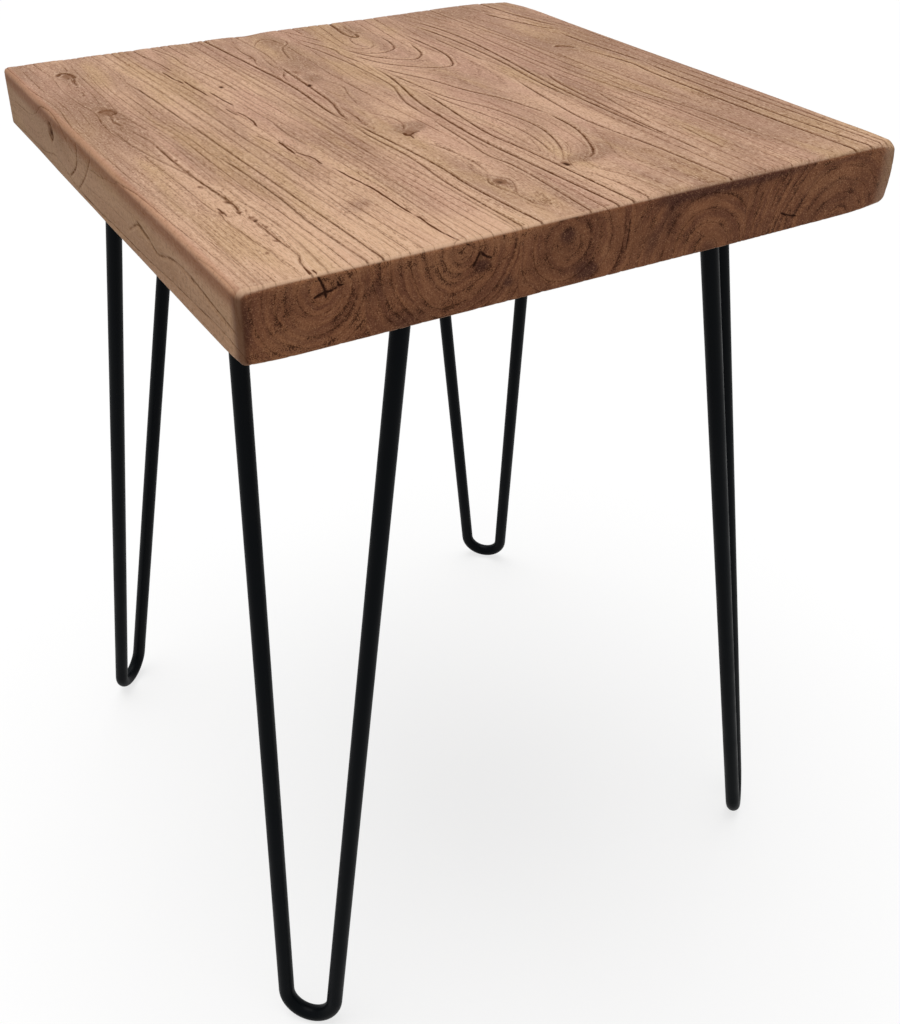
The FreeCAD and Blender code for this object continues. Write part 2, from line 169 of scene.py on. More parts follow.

# %% [markdown]
# The strongest lines of the real top wander more than any rule would make them: they part round the
# knots, close up to a leaf in front and open to arches behind. They are drawn one by one, as a wood-carver
# would pencil them on the board, and the ring field fills the wood between them with finer lines.

# %% Lines drawn one by one
DRAWN_LINES = [  # half the width in mm, darkness, then places x, y on the top
    (0.55, 0.9, [(-148.5, 2), (-149, -30), (-148, -58), (-146.6, -76), (-146, -92)]),
    (0.5, 0.85, [(-147.6, -68), (-145.4, -92), (-147.8, -108)]),
    (0.38, 0.85, [(-145, -114), (-144.6, -140), (-143.9, -158), (-146.5, -167.5), (-147.5, -173)]),
    (0.4, 0.55, [(-142.5, -86), (-139, -110), (-138, -140), (-141, -178)]),
    (0.4, 0.55, [(-160, 32), (-159, 5), (-155, -20), (-150, -45), (-147.5, -62)]),
    (0.4, 0.5, [(-152.5, 30), (-149, 5), (-148, -20)]),
    (0.3, 0.35, [(-141, 25), (-139, -10), (-138, -60)]),
    (0.3, 0.35, [(-169, -45), (-167.5, -95), (-168, -170)]),
    (0.3, 0.3, [(-173, -35), (-171.5, -95), (-170, -175)]),
    (1.0, 0.95, [(-157.5, 142), (-155, 147.5), (-151, 147), (-148.8, 140), (-150, 134)]),
    (0.6, 0.75, [(-150, 134), (-152, 129), (-152.6, 119)]),
    (0.35, 0.5, [(-154, 106), (-154.5, 98)]),
    (1.0, 0.9, [(-157.5, 64), (-154, 67), (-150, 65), (-149, 60.5), (-152, 57)]),
    (0.5, 0.6, [(-154, 62), (-154, 54), (-155, 44), (-153.5, 36)]),
    (0.35, 0.5, [(-149, 68), (-147.5, 52), (-144, 20)]),
    (0.45, 0.8, [(-128, -30), (-125.6, -60), (-124.4, -100), (-125, -130), (-122, -175)]),
    (0.45, 0.85, [(-127, 115), (-124, 80), (-122.4, 36), (-120, -40), (-118.5, -80), (-115, -178)]),
    (0.35, 0.55, [(-120, 172), (-117, 120), (-115, 80), (-112.5, 0), (-110.7, -70), (-107, -160)]),
    (0.35, 0.6, [(-109, 105), (-107, 40), (-106, -10), (-104, -50), (-104.4, -130), (-102, -162)]),
    (0.4, 0.65, [(-91, 172), (-84, 152), (-84, 130), (-78, 86), (-77, 55)]),
    (0.5, 0.55, [(-83, 5), (-84, -18), (-82.5, -40)]),
    (0.35, 0.5, [(-76, -35), (-75.5, -100), (-76, -178)]),
    (0.35, 0.5, [(-71, -15), (-70, -90), (-69.5, -165)]),
    (0.35, 0.55, [(-64, 178), (-63, 100), (-62, 0), (-61, -85)]),
    (0.3, 0.45, [(-71, 170), (-70, 100), (-69.5, 35)]),
    (0.35, 0.55, [(-60, 110), (-57, 30), (-57.5, -30)]),
    (0.4, 0.55, [(-54, -75), (-52, -130), (-50.5, -178)]),
    (0.6, 1.0, [(-54.5, 176), (-48.5, 100), (-46.4, 56), (-49, 6), (-47.2, -16)]),
    (0.55, 0.95, [(-36, 100), (-37.5, 66), (-39, 40), (-41, 18), (-45.5, -2), (-46.8, -16)]),
    (0.5, 0.85, [(-47.2, -16), (-48.8, -40), (-46.8, -80), (-49, -120), (-47.5, -178)]),
    (0.55, 0.95, [(-46.8, -16), (-43.5, -55), (-41, -96), (-41.6, -130), (-37, -175)]),
    (0.35, 0.6, [(-32, -6), (-25, -20), (-25, -32), (-30, -42)]),
    (0.35, 0.6, [(-30, -62), (-25, -80), (-23.5, -100), (-26, -119)]),
    (0.35, 0.6, [(-28.5, -120), (-32, -128), (-30.6, -138), (-29, -147), (-28.5, -162)]),
    (0.35, 0.6, [(-26, -120), (-21.6, -128), (-24, -137), (-28.6, -145)]),
    (0.35, 0.5, [(-33, 170), (-32, 130), (-35.5, 103)]),
    (0.35, 0.6, [(-10, 162), (-9, 147), (-18, 134), (-24, 110)]),
    (0.35, 0.55, [(-24, 57), (-22, 42), (-26, 28), (-30, 8)]),
    (0.4, 0.65, [(-5, 173), (6, 157), (12, 137)]),
    (0.45, 0.8, [(-5, 150), (1, 115), (4, 80), (4, 36), (0, 18), (-5, 0), (-7.5, -32)]),
    (0.45, 0.85, [(-7.5, -32), (-10, -70), (-12.2, -95), (-9, -120), (-12, -172)]),
    (0.45, 0.8, [(-1, 153), (9, 120), (8, 104), (11, 80)]),
    (0.6, 1.0, [(12.5, 72), (10, 40), (2, 0), (-1, -32), (-2.5, -70), (-1, -107), (4, -178)]),
    (0.55, 1.0, [(12.6, 15), (11, -10), (7.5, -45), (6, -70), (9, -107), (12.6, -178)]),
    (0.5, 1.0, [(13.5, 72), (19, 54), (28, 32), (36, 2), (46, -24), (51.5, -56)]),
    (0.5, 1.0, [(51.5, -56), (50, -80), (44, -100), (36, -116), (28, -123)]),
    (0.45, 0.9, [(14, 60), (16, 30), (20, -4), (29, -30), (34, -60), (33, -80), (26, -102), (16, -119)]),
    (0.4, 0.75, [(14.5, 20), (16, -10), (21, -40), (23.4, -66), (21.6, -90), (15.5, -114)]),
    (0.35, 0.5, [(14, -22), (15, -70), (14.5, -95)]),
    (0.4, 0.6, [(16, -136), (20, -158), (20.5, -178)]),
    (0.35, 0.55, [(23, -136), (30, -155), (33, -177)]),
    (0.4, 0.6, [(21, 121), (22.5, 112), (30, 109), (36.5, 115)]),
    (0.45, 0.85, [(17, 109), (24, 99), (32, 96), (43, 101), (48, 116), (49, 130)]),
    (0.5, 0.95, [(14, 118), (20, 98), (28, 84), (40, 73.5), (47, 76), (53, 85), (58, 108)]),
    (0.5, 1.0, [(13.5, 104), (18, 84), (26, 68), (40, 54), (52, 49.5), (59, 57), (65, 80), (65, 128)]),
    (0.9, 0.85, [(36.5, 171), (33, 157), (32, 146), (34.2, 137), (37.5, 140), (38.6, 149)]),
    (0.6, 0.55, [(38.6, 149), (39.5, 160), (41, 168)]),
    (0.7, 0.5, [(40.5, 149), (44, 143)]),
    (0.5, 0.9, [(72, 10), (69, -12), (66, -35), (62.5, -70), (64, -95), (67.5, -132), (69.5, -176)]),
    (0.5, 0.85, [(77.5, 110), (77.5, 50)]),
    (0.6, 1.0, [(81, 150), (85, 118), (86.5, 80), (85, 40), (81, 2), (79, -40)]),
    (0.6, 1.0, [(83, 165), (91, 138), (94, 100), (91, 50), (86, 5), (83, -35), (81.6, -120)]),
    (0.5, 0.85, [(96, 15), (90, -10), (87, -45), (85, -82), (82.5, -150)]),
    (0.45, 0.7, [(98, -36), (94, -60), (89, -97)]),
    (0.45, 0.6, [(99, -106), (95, -145)]),
    (0.45, 0.55, [(100, 65), (99.5, 0), (102, -95)]),
    (0.45, 0.65, [(110, 30), (111, -12), (116, -70), (116.5, -120)]),
    (0.45, 0.6, [(112.5, 174), (114, 140), (118, 80), (117, 20), (118, -10)]),
    (0.5, 0.75, [(119, -40), (121, -60), (125.5, -100), (126, -140)]),
    (0.45, 0.6, [(125, 40), (124.5, -30)]),
    (0.45, 0.55, [(131, 10), (131, -70)]),
    (0.7, 0.95, [(152, 178), (156, 147), (160, 120), (165, 98)]),
    (0.7, 0.95, [(139.5, 150), (147, 122), (154, 101), (160, 91)]),
    (0.6, 0.85, [(156, 82), (156, 60), (160, 2)]),
    (0.65, 1.0, [(145, 42), (151.5, 2), (149.5, -20), (149, -70), (149, -120), (150.5, -178)]),
    (0.6, 0.9, [(160, 2), (158, -30), (157.5, -70), (157.5, -120), (161.5, -176)]),
    (0.5, 0.75, [(165, 8), (166, -70), (169, -177)]),
    (0.45, 0.6, [(171, -20), (172, -90), (172.5, -170)]),
    (0.45, 0.6, [(108, 135), (104.5, 70), (105, 10), (107, -18)]),
    (0.4, 0.55, [(119, 150), (120.5, 110), (122, 60), (124, 18)]),
    (1.4, 0.75, [(132.5, 53.5), (136, 55.5), (140, 52), (143, 46.5)]),
    (0.7, 0.4, [(133, 44), (137, 43.5), (140, 40)]),
]
SIDE_LINES = [  # the same on the left side, as places y, depth
    (0.45, 0.65, [(-42, 24), (-60, 15), (-72, 16), (-85, 20), (-100, 16), (-115, 13.5)]),
    (0.8, 0.75, [(-58, 14), (-68, 16), (-77, 17)]),
    (0.45, 0.65, [(-112, 14), (-128, 14.5), (-150, 17), (-178, 20)]),
    (0.8, 0.75, [(-126, 14.5), (-132, 15.5)]),
    (0.55, 0.75, [(32, 3), (38, 17), (55, 28)]),
    (0.5, 0.65, [(8, 4), (24, 19), (42, 31)]),
    (0.75, 0.95, [(87, 9), (84, 7.5), (80, 10), (81, 15), (85, 16.5), (88, 13)]),
]
print(len(DRAWN_LINES) + len(SIDE_LINES), "lines drawn by hand")

# %% Knots, splits and stains
KNOTS = [  # x, y, depth, size, darkness
    (-152.5, 141, 0, 4.2, 0.5), (-154, 62, 0, 4.2, 0.55), (-82.3, 77, 0, 1.5, 1.0),
    (-33, 84, 0, 3.4, 0.5), (-37, 55, 0, 1.6, 1.0), (-29, -47, 0, 3.6, 0.4), (-27.5, -130, 0, 2.8, 0.75),
    (13.6, -124, 0, 1.9, 1.0), (35.5, 145, 0, 3.4, 0.35), (138, 52, 0, 3.0, 0.3),
    (-180, 83, 12, 3.6, 0.85), (-150.5, -67, 0, 1.2, 0.6), (-145, -112, 0, 1.4, 0.6),
    (-44, 124, 0, 1.8, 0.8), (-154.5, -151, 0, 1.1, 0.7), (-26, 179, 0, 6.0, 0.7),
    (-153.5, -101, 0, 1.3, 0.9), (-148.6, -4, 0, 1.0, 0.8), (-147.4, -27, 0, 0.9, 0.7),
    (-147.6, -44, 0, 0.9, 0.7), (-146.4, -90, 0, 1.2, 0.9), (-146.6, -104, 0, 1.0, 0.8),
    (-144.4, -116, 0, 1.0, 0.8), (-143.4, -125, 0, 0.8, 0.7), (-146, -141, 0, 0.9, 0.8),
    (-68.8, -180, 9.5, 1.5, 1.0), (-142.6, -180, 9, 1.2, 0.9), (-156, 146, 0, 1.2, 0.8),
    (-150, 144, 0, 1.0, 0.7), (-153.5, 136, 0, 1.3, 0.9), (-152, 128, 0, 0.9, 0.8),
    (-155, 100, 0, 0.8, 0.8), (-152.5, 57, 0, 1.0, 0.7), (-152, 48, 0, 0.9, 0.7), (-155, 44, 0, 1.0, 0.7),
    (-151.4, 40, 0, 0.8, 0.7), (-154, 34, 0, 0.8, 0.6),
]
SPLITS = [  # half the width in mm, then places x, y, depth
    (0.35, [(-101.5, 180, 0), (-99.5, 162, 0), (-97.5, 146, 0), (-95, 121, 0)]),
    (0.6, [(-100.8, 122, 0), (-100.2, 108, 0), (-98.4, 93, 0)]),
    (0.6, [(-96.4, 99, 0), (-95.7, 82, 0), (-94.6, 64, 0)]),
    (0.5, [(-91.4, 71, 0), (-90.6, 55, 0), (-89.4, 41, 0)]),
    (0.5, [(-95, 38, 0), (-94.4, 24, 0)]),
    (0.45, [(-92, 30, 0), (-91.2, 14, 0), (-92.5, 2, 0)]),
    (0.45, [(-98.5, -12, 0), (-96.5, -24, 0)]),
    (0.6, [(-93.4, -26, 0), (-92.6, -38, 0), (-93, -47, 0)]),
    (0.5, [(-91.6, -44, 0), (-89, -56, 0), (-88.2, -67, 0)]),
    (0.6, [(-86, -75, 0), (-85, -89, 0), (-83, -104, 0), (-82.4, -132, 0), (-82, -146, 0)]),
    (0.55, [(-82.4, -144, 0), (-81.6, -156, 0), (-79, -180, 0), (-75, -180, 3.2)]),
    (0.4, [(-153.4, -95, 0), (-153, -106, 0)]),
    (0.35, [(-146.8, -169, 0), (-147.6, -174, 0), (-148.4, -178.5, 0)]),
    (0.5, [(-145.9, -174.5, 0), (-145.5, -178, 0), (-145.4, -180, 0.4)]),
    (1.0, [(-31.7, -45.4, 0), (-32.2, -48.8, 0), (-29.8, -49.4, 0)]),
    (0.5, [(-31, -48.5, 0), (-30.8, -51.5, 0), (-31.2, -55.5, 0)]),
    (0.45, [(-30.1, -49.1, 0), (-27, -47.2, 0), (-22.5, -46.4, 0)]),
    (0.6, [(-145.6, -180, 0.6), (-143.7, -180, 4.4), (-142.5, -180, 7.5), (-141.9, -180, 11.5)]),
    (0.65, [(-147.7, -180, 10.2), (-144.4, -180, 9), (-139, -180, 8.4)]),
    (0.5, [(-136.9, -180, 5), (-136.2, -180, 6.9), (-139.5, -180, 8.6)]),
    (0.45, [(-136.2, -180, 6.9), (-133.6, -180, 7.1)]),
    (0.45, [(-78.5, -180, 0.6), (-74.4, -180, 3.2)]),
    (0.6, [(-69, -180, 6.4), (-71.2, -180, 9.6), (-73.6, -180, 13.2)]),
    (0.6, [(-69, -180, 7.2), (-66.4, -180, 9.4), (-63.4, -180, 10.8)]),
    (0.5, [(103.5, -180, 23.5), (108, -180, 25.4), (115.6, -180, 27.5)]),
    (0.3, [(9.2, -180, 8), (9.6, -180, 15), (9.2, -180, 23)]),
]
# Besides the small stains and bleached spots, the broad entries lighten the front left of the top and
# darken wide patches elsewhere, mostly along the back and the right, and the thin one at (75, -180) darkens
# a band on the sawn front just below its top edge.
STAINS = [  # x, y, depth, how far along each, then how dark; below zero is bleached
    (-23, 96, 0, 11, 22, 8, 0.9), (-17, 140, 0, 7, 26, 8, 0.9), (-31, 66, 0, 6, 8, 8, 1.0),
    (-26, -40, 0, 9, 8, 8, 1.0), (-18, -37, 0, 7, 6, 8, 0.6), (26, -121, 0, 12, 6, 8, 1.0),
    (42, -112, 0, 14, 12, 8, 0.6), (-96, -121, 0, 7, 4, 8, 0.9), (-103, -127, 0, 6, 4, 8, 0.8),
    (-27, -130, 0, 7, 10, 8, 0.6), (38, 155, 0, 10, 16, 8, 0.5), (-151, 138, 0, 6, 18, 8, 0.6),
    (-154, 50, 0, 6, 22, 8, 0.5), (118, 165, 0, 30, 22, 8, 0.6), (-130, -140, 0, 60, 50, 8, -0.7),
    (-60, -178, 0, 60, 20, 8, -0.6), (140, 60, 0, 14, 24, 8, 0.4), (170, 60, 0, 16, 140, 8, 0.4),
    (55, 15, 0, 16, 30, 8, 0.4), (-24, 22, 0, 9, 26, 8, 0.4), (-165, 60, 0, 40, 110, 8, 0.75),
    (140, -20, 0, 60, 170, 8, 0.45), (20, 185, 0, 190, 60, 8, 0.35), (120, -125, 0, 60, 45, 8, 0.38),
    (10, 130, 0, 45, 45, 8, 0.25), (110, 45, 0, 45, 70, 8, 0.25), (-25, -115, 0, 30, 35, 8, 0.25),
    (-69, -180, 13, 5.5, 4, 4, 1.0), (-24.4, -180, 8, 4.5, 4, 4, 0.9), (-12, -180, 28, 7, 4, 4, 0.9),
    (-118, -180, 8, 9, 4, 12, 0.6), (-55, -180, 24, 3.5, 4, 3, 0.7), (-179, -180, 16, 5, 4, 20, 0.9),
    (-105, -180, 30, 14, 4, 6, 0.5), (34, -180, 12, 6, 4, 12, 0.5), (24, -180, 22, 5, 4, 9, 0.5),
    (60, -180, 31, 7, 4, 4, 0.4), (46, -180, 3, 18, 4, 4, 0.4), (-3, -180, 21, 4, 4, 6, -0.8),
    (-20, -180, 18, 26, 4, 16, 0.3), (-160, -180, 26, 16, 4, 9, -0.5), (-86, -180, 14, 12, 4, 8, -0.5),
    (130, -180, 12, 26, 4, 9, -0.5), (-180, 66, 14, 4, 14, 10, 0.6), (-180, 110, 32, 4, 6, 4, 0.9),
    (-180, 95, 3, 4, 8, 3, 0.6), (-180, -80, 18, 4, 10, 6, 0.5), (34, -60, 0, 15, 48, 8, 0.6),
    (75, -180, 2.5, 50, 4, 3.5, 0.7), (45, -160, 0, 40, 22, 8, 0.2), (-50, -60, 0, 26, 50, 8, 0.45),
    (-105, -165, 0, 45, 18, 8, -0.9),
]
print(len(KNOTS), "knots,", len(SPLITS), "splits and", len(STAINS), "stains")

# %% [markdown]
# A field gives a number for every spot in the wood. Four helpers shape them all: a path eased between
# given points, a ripple that wanders at random from its own seed, so that the wood comes out the
# same every time, a bell-shaped hump, and mounds, which raise the field around given spots.


# %% Field helpers
def eased_path(points, y, reach=14.0, shift_count=9):
    """The given line at each y, eased by averaging it over a short reach."""
    places = np.array(points, float)
    shifts = np.linspace(-reach, reach, shift_count)
    columns = []
    for column in places[:, 1:].T:
        columns.append(np.mean([np.interp(y + shift, places[:, 0], column) for shift in shifts], axis=0))
    return columns


def ripple(seed, reach, spots, wave_count=20):
    """A smooth random field, about from -1 to 1, made of sine waves that are long along each reach."""
    rng = np.random.default_rng(seed)
    waves = rng.normal(size=(wave_count, 3)) / np.array(reach)
    phases = rng.uniform(0, 2 * np.pi, wave_count)
    total = np.zeros(len(spots))
    for wave, phase in zip(waves, phases):
        total += np.sin(spots @ wave + phase)
    return total / np.sqrt(wave_count)


def hump(value, edge):
    """1 at zero, falling off as a bell over the edge distance."""
    return np.exp(-((value / edge) ** 2))


def with_mounds(field, spots, mounds):
    """The field with mounds added, each given as its x, y, depth, its reach along each and its height."""
    for x, y, depth, *reach, height in mounds:
        away = (spots - (x, y, depth)) / reach
        field = field + height * np.exp(-(away**2).sum(axis=1))
    return field


print("the middle heart passes", np.round(eased_path(STAVES["middle"]["heart"], 0.0), 1), "half way")

# %% Rings
KNOT_SWELLS = [(*centre, 2.2 * size, 4.8 * size, 2.2 * size, 0.2 * size) for *centre, size, _ in KNOTS]


def rings_inside(years, pitch, radius):
    """Rings inside each radius, from the radii of one side's yearly lines."""
    radii = np.array([0] + [at for at, _ in years], float)
    return np.interp(radius, radii, np.arange(len(radii))) + np.maximum(radius - radii[-1], 0) / pitch


def ring_count(stave, spots, wander=0.8, tremble=0.25):
    """Rings between the heart and each spot (x, y, depth) in mm, and how far it is on the right side."""
    x, y, depth = spots.T
    heart_x, heart_depth = eased_path(stave["heart"], y)
    radius = np.hypot(x - heart_x, depth - heart_depth)
    right_share = 0.5 + 0.5 * np.tanh((x - heart_x) / (0.4 * radius + 1))
    radius = radius + wander * ripple(stave["seed"], (9, 55, 9), spots)
    radius += tremble * ripple(stave["seed"] + 1, (4, 14, 4), spots)
    left, right = (rings_inside(stave[side], stave["pitch"], radius) for side in ("left", "right"))
    rings = left + right_share * (right - left)
    return with_mounds(rings, spots, stave.get("swells", []) + KNOT_SWELLS), right_share


def line_strength(stave, rings, right_share, most_years=80):
    """How strongly the nearest yearly line is marked."""
    year = np.clip(np.round(rings), 0, most_years - 1).astype(int)
    sides = []
    for number, side in enumerate(("left", "right")):
        marks = np.random.default_rng(stave["seed"] + number).uniform(0.15, 0.4, most_years)
        marks[1 : len(stave[side]) + 1] = [strength for _, strength in stave[side]]
        sides.append(marks[year])
    return sides[0] + right_share * (sides[1] - sides[0])


def spread_of(stave, spots, normals, step=0.3, least_slope=0.02):
    """Millimetres of surface from one ring to the next."""
    slopes = []
    for axis in np.eye(3) * step:
        ahead = ring_count(stave, spots + axis)[0]
        behind = ring_count(stave, spots - axis)[0]
        slopes.append((ahead - behind) / (2 * step))
    slope = np.stack(slopes, axis=1)
    along = (slope * normals).sum(axis=1, keepdims=True)
    return 1 / np.maximum(np.linalg.norm(slope - along * normals, axis=1), least_slope)


print("yearly lines left of each heart:", [len(stave["left"]) for stave in STAVES.values()])

# %% [markdown]
# For the drawn lines, each spot needs to know how far the nearest one is. A line is turned into short
# straight steps, and the gap to its edge is kept, with the strength of the line that won. Lines thin out
# towards their ends, except where they run off a sawn end of the top.

# %% Distance to a drawn line
HALF_TOP = 180  # mm from the middle of the top to each of its sides


def smooth_line(points, parts=6):
    """A curve through the points, as short straight steps."""
    places = np.array(points, float)
    padded = np.vstack([2 * places[0] - places[1], places, 2 * places[-1] - places[-2]])
    t = np.linspace(0, 1, parts, endpoint=False)[:, None]
    steps = []
    for a, b, c, d in zip(padded, padded[1:], padded[2:], padded[3:]):
        bend = (c - a) * t + (2 * a - 5 * b + 4 * c - d) * t**2 + (3 * b - a - 3 * c + d) * t**3
        steps.append(b + bend / 2)
    return np.vstack([*steps, places[-1:]])


def nearest_line(lines, spots, far=6.0, thinnest=0.3, taper_rate=7):
    """Gap in mm from each spot to the edge of the nearest line, below zero inside it, and its strength."""
    gap = np.full(len(spots), far)
    mark = np.zeros(len(spots))
    for half_width, strength, points in lines:
        path = smooth_line(points)
        close = np.all((spots > path.min(axis=0) - far) & (spots < path.max(axis=0) + far), axis=1)
        index = np.nonzero(close)[0]
        if not len(index):
            continue
        off_start, off_end = np.abs(path[[0, -1], 1]) > HALF_TOP
        lengths = np.maximum(np.linalg.norm(np.diff(path, axis=0), axis=1), 1e-6)
        run = np.concatenate([[0], np.cumsum(lengths)])
        for start, end, before, length in zip(path, path[1:], run, lengths):
            share = np.clip((spots[index] - start) @ (end - start) / length**2, 0, 1)
            distance = np.linalg.norm(spots[index] - start - share[:, None] * (end - start), axis=1)
            place = (before + share * length) / run[-1]
            from_tip = np.minimum(place + off_start, 1 - place + off_end)
            taper = np.minimum(1, taper_rate * from_tip + thinnest)
            edge = distance - half_width * taper
            nearer = edge < gap[index]
            gap[index[nearer]] = edge[nearer]
            mark[index[nearer]] = (strength * taper)[nearer]
    return gap, mark


def off_the_end(y, near=11, beyond=12):
    """Carries a place that is close to a sawn end on past it, so that the line doesn't thin out there."""
    return y + beyond * np.sign(y) if abs(y) > HALF_TOP - near else y


top_lines = [(*pen, [(x, off_the_end(y), 0) for x, y in places]) for *pen, places in DRAWN_LINES]
side_lines = [(*pen, [(-HALF_TOP, y, depth) for y, depth in places]) for *pen, places in SIDE_LINES]
all_splits = [(half_width, 1.0, places) for half_width, places in SPLITS]
print("longest line has", max(len(places) for _, _, places in top_lines), "places")


# %% Knots and stains as fields
def knot_mask(spots, widest=4, raggedness=0.35):
    """1 in the core of a knot, falling off around it with a ragged edge."""
    mask = np.zeros(len(spots))
    for number, (*centre, size, darkness) in enumerate(KNOTS):
        away = np.linalg.norm((spots - centre) / (size, 1.3 * size, size), axis=1)
        close = away < widest
        wobble = ripple(100 + number, (0.8 * size, size, 0.8 * size), spots[close])
        ragged = away[close] + raggedness * wobble
        mask[close] = np.maximum(mask[close], darkness * hump(np.maximum(ragged, 0), 1.0))
    return mask


def stain_mask(spots):
    """How far the wood has darkened, or bleached where it is below zero."""
    return with_mounds(np.zeros(len(spots)), spots, STAINS)


print("stain in the middle of the top:", stain_mask(np.zeros((1, 3))).round(2))

# %% [markdown]
# ## Carving the staves
#
# A stave starts as a block the size of its CAD solid. The block is cut into a grid that is coarse below
# and fine on the faces that show, so that each groove has its own points. Then the edges are eased, more
# at some corners than others, and the rings and splits are pressed in: old elm is brushed, and the soft
# early wood of each year wears away first.


# %% Block with a fine grid
def pick(block, kind, wanted):
    """Selects the edges or faces of the block in edit mode for which wanted is true."""
    bpy.ops.mesh.select_mode(type=kind)
    bpy.ops.mesh.select_all(action="DESELECT")
    grid = bmesh.from_edit_mesh(block.data)
    for part in grid.edges if kind == "EDGE" else grid.faces:
        part.select_set(wanted(part))
    bmesh.update_edit_mesh(block.data)


def slice_along(block, axis, cuts, reach=1.0):
    """Cuts the block into even slices across one axis, between plus and minus reach."""

    def runs_along(edge):
        ends = [corner.co for corner in edge.verts]
        inside = all(abs(end[axis]) < reach for end in ends)
        return inside and abs(ends[0][axis] - ends[1][axis]) > 0.5 * (ends[0] - ends[1]).length

    pick(block, "EDGE", runs_along)
    bpy.ops.mesh.subdivide(number_cuts=cuts)


def stave_block(name, row, column=2 * MM, layer=3 * MM, end_rows=(3 * MM, 6 * MM), fine_cuts=3):
    """A block for the stave, in cells of row by column by layer, cut finer on the faces that show."""
    low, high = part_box("stave_" + name)
    select_only()
    bpy.ops.mesh.primitive_cube_add(size=1, location=(low + high) / 2, scale=high - low)
    block = bpy.context.object
    block.name = "elm_" + name
    block.data.name = block.name
    bpy.ops.object.transform_apply()
    bpy.ops.object.mode_set(mode="EDIT")
    for inset in end_rows:
        for end, way in ((low.y, 1), (high.y, -1)):
            bpy.ops.mesh.select_all(action="SELECT")
            bpy.ops.mesh.bisect(plane_co=(0, end + way * inset, 0), plane_no=(0, 1, 0))
    between_ends = high.y - low.y - 2 * end_rows[-1]
    slice_along(block, 0, round((high.x - low.x) / column) - 1)
    slice_along(block, 1, round(between_ends / row) - 1, high.y - end_rows[-1] + MM)
    slice_along(block, 2, round((high.z - low.z) / layer) - 1)

    def shows(face):
        outer_side = abs(face.normal.x) > 0.5 and abs(face.calc_center_median().x) > cad_high.x - 10 * MM
        return outer_side or abs(face.normal.y) > 0.5 or face.normal.z > 0.5

    pick(block, "FACE", shows)
    bpy.ops.mesh.subdivide(number_cuts=fine_cuts)
    bpy.ops.object.mode_set(mode="OBJECT")
    return block


blocks = {name: stave_block(name, stave["rows"] * MM) for name, stave in STAVES.items()}
for name, block in blocks.items():
    print(block.name, "has", sum(len(face.vertices) - 2 for face in block.data.polygons), "triangles")

# %% Eased edges
TOP, UNDERSIDE = 494, 460  # mm above the floor
NICKS = [  # chips along the edges: x, y, half the length, how much wider the easing is
    (-26, 180, 9, 3.0), (-102, 180, 3, 2.2), (-171, 180, 6, 1.5), (-66, 180, 5, 1.2), (-140, 180, 6, 1.2),
    (32, 180, 5, 1.2), (62, 180, 7, 1.4), (-180, 120, 14, 0.8), (-180, -40, 25, 0.6), (176, 180, 20, 8.0),
]


def edge_radius(spots, thinnest=1.2, widest=12):
    """How far the edge near each spot is rounded, in mm: more along the top and at the front corners."""
    x, y, z = spots.T
    front_right = np.hypot(x - HALF_TOP, y + HALF_TOP)
    front_left = np.hypot(x + HALF_TOP, y + HALF_TOP)
    radius = 2.0 + 0.3 * ripple(71, (30, 30, 12), spots) + hump(z - TOP, 7) - 0.4 * hump(z - UNDERSIDE, 9)
    radius += 1.5 * hump(x - HALF_TOP, 14) * hump(z - TOP, 8)
    radius += 1.5 * hump(front_right, 14) + 2.0 * hump(front_left, 12)
    radius += 3.0 * hump(front_right, 18) * hump(z - UNDERSIDE, 10)
    upper_share = np.clip((z - 470) / 12, 0.2, 1)
    for at_x, at_y, reach, amount in NICKS:
        radius += amount * hump(np.hypot(x - at_x, y - at_y), reach) * upper_share
    return np.clip(radius, thinnest, widest)[:, None]


def ease_edges(spots):
    """Rounds the slab's outer edges, returning the moved spots and their outward normals."""
    radius = edge_radius(spots)
    core_low = np.array((-HALF_TOP, -HALF_TOP, UNDERSIDE)) + radius
    core_high = np.array((HALF_TOP, HALF_TOP, TOP)) - radius
    core = np.clip(spots, core_low, core_high)
    out = spots - core
    length = np.linalg.norm(out, axis=1, keepdims=True)
    on_skin = length > radius - 0.01
    normals = np.where(on_skin, out / np.maximum(length, 1e-6), 0)
    return np.where(on_skin, core + normals * radius, spots), normals


back_right = np.array([(HALF_TOP, HALF_TOP, TOP)], float)
print("worn back right corner is eased by", edge_radius(back_right).item(), "mm")

# %% Press the grain into each stave
GROOVE_EDGE = 0.55  # mm over which a groove closes
LINE_DEPTH = 0.4
SPLIT_DEPTH = 0.35
KNOT_DEPTH = 0.4
WEAR_DEPTH = 0.1
BRUSH_DEPTH = 0.04
EDGE_DEPTH = 4.0  # mm that a line on the top is carried down over the eased edge


def line_fields(stave, in_tree, rings, right_share):
    """Gap and mark of the drawn lines, and the bite of the ring lines, which give way beside them."""
    over_edge = in_tree - np.minimum(in_tree[:, 2:], EDGE_DEPTH) * (0, 0, 1)
    gap, mark = nearest_line(top_lines, over_edge)
    side_gap, side_mark = nearest_line(side_lines, in_tree)
    mark = np.where(side_gap < gap, side_mark, mark)
    gap = np.minimum(side_gap, gap)
    bite = np.minimum(2.0 * line_strength(stave, rings, right_share), 1)
    bite *= np.clip(0.85 + 0.4 * ripple(stave["seed"] + 2, (3, 30, 3), in_tree), 0.2, 1)
    bite *= 1 - 0.9 * hump(np.maximum(gap, 0), 3.0) * np.minimum(1.4 * mark, 1)
    return gap, mark, bite


